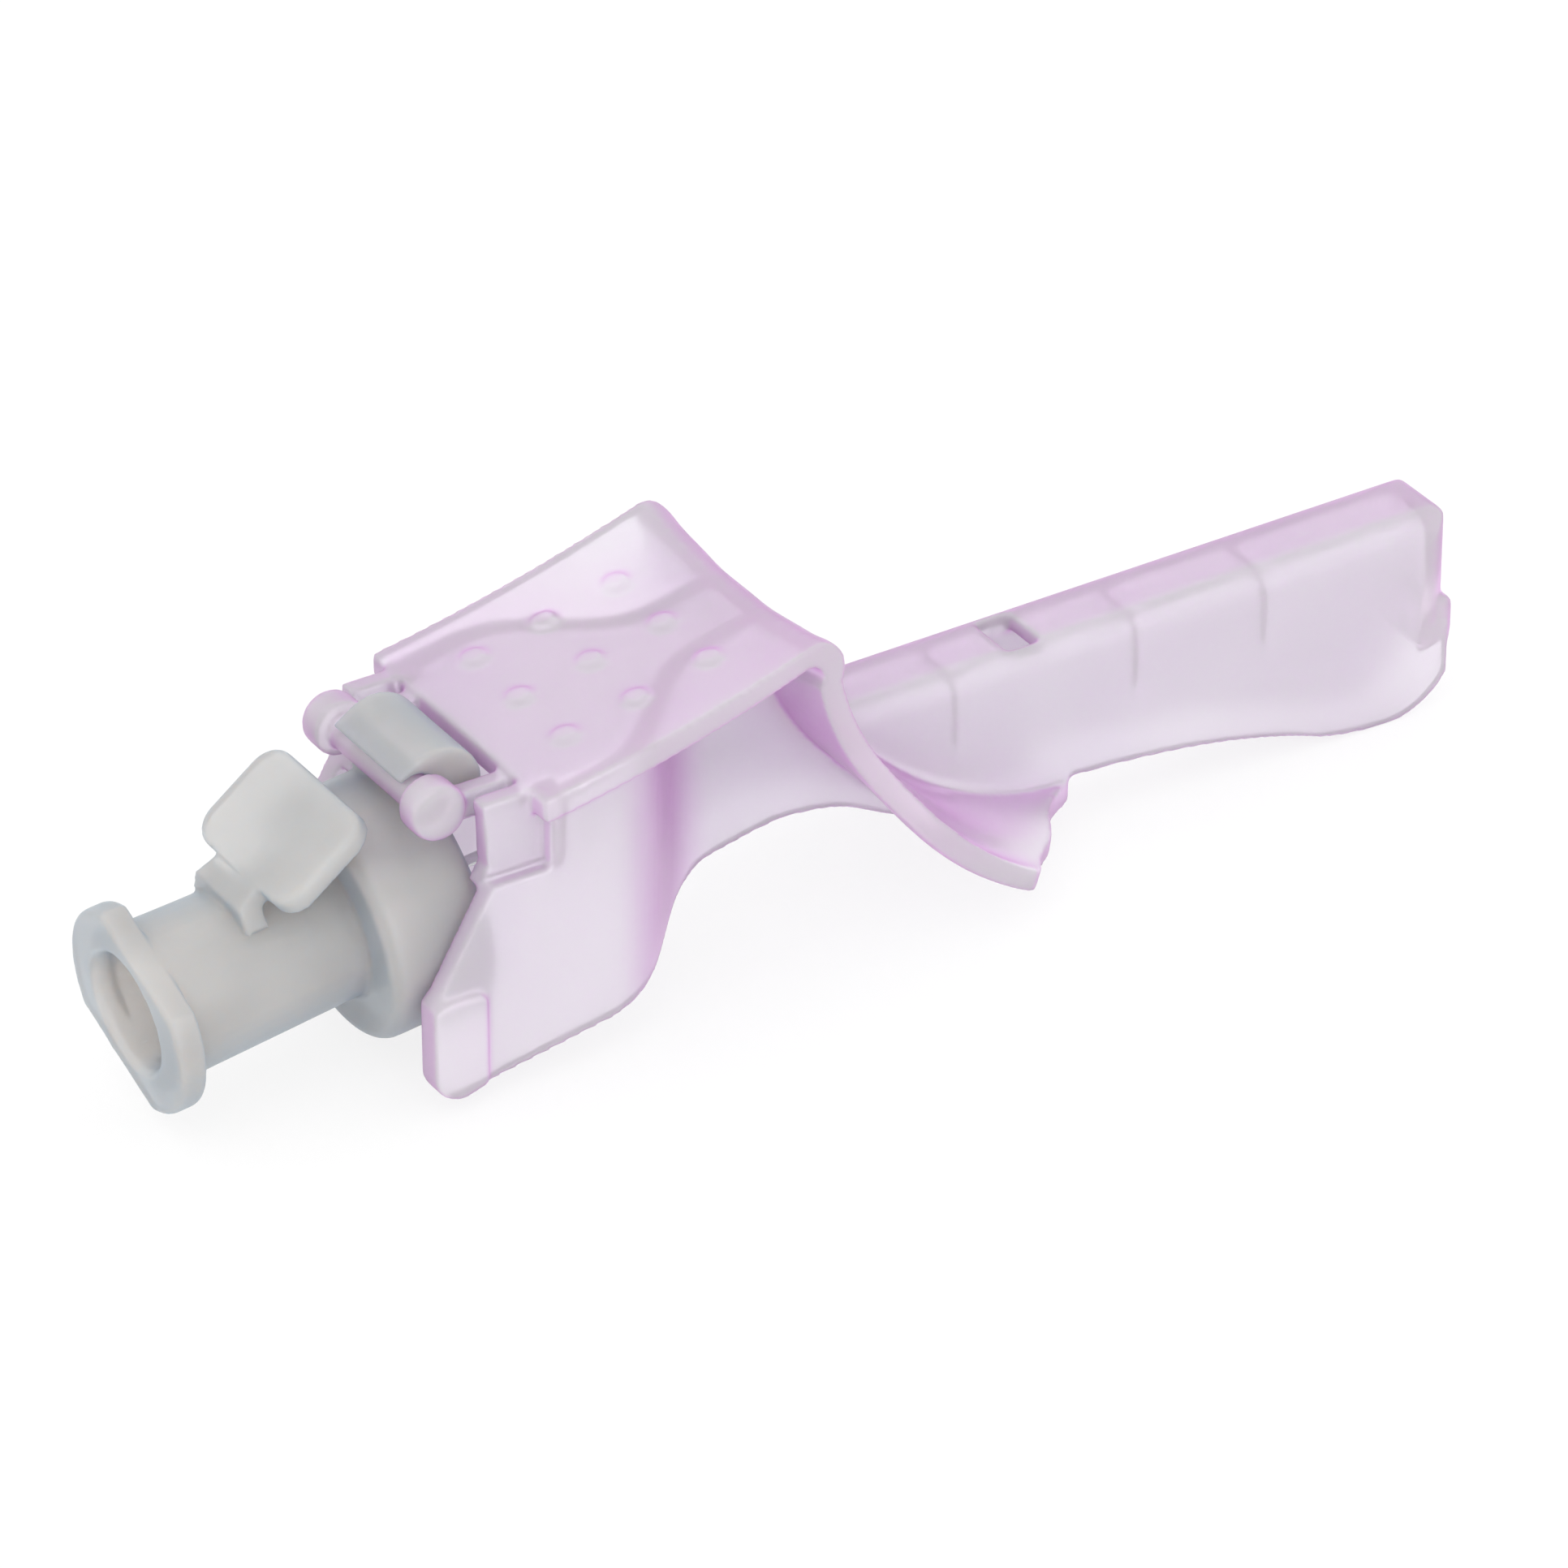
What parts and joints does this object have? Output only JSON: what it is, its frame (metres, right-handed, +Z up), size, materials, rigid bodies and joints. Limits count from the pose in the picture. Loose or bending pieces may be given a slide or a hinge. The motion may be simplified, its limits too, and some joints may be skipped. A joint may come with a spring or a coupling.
{
  "type": "safety hypodermic needle",
  "caption": "Hypodermic needle on a luer-lock hub, with a hinged plastic shield that swings over the needle and is pressed home by a dished finger pad.",
  "frame": {"origin": "centre of the luer socket's mouth, in the plane of its rim", "axes": "+X towards the shield's tip along the level shield, +Z up away from the needle side, and the hub's axis rises 6.5 degrees from +X"},
  "size_m": [0.0543, 0.0116, 0.0141],
  "materials": {
    "hub_plastic": "satin translucent grey polypropylene",
    "needle_steel": "bright drawn stainless steel tube",
    "adhesive": "clear cured epoxy",
    "shield_plastic": "satin translucent lilac polypropylene"
  },
  "bodies": {
    "needle_body": {"hub": "hub_plastic", "cannula": "needle_steel", "needle_adhesive": "adhesive"},
    "shield_body": {"shield": "shield_plastic"}
  },
  "joints": [
    {"name": "shield_hinge", "type": "hinge", "parent": "needle_body", "child": "shield_body", "pos_m": [0.0102, 0, 0.00645], "axis": [0, -1, 0], "range_deg": [0, 160]}
  ]
}
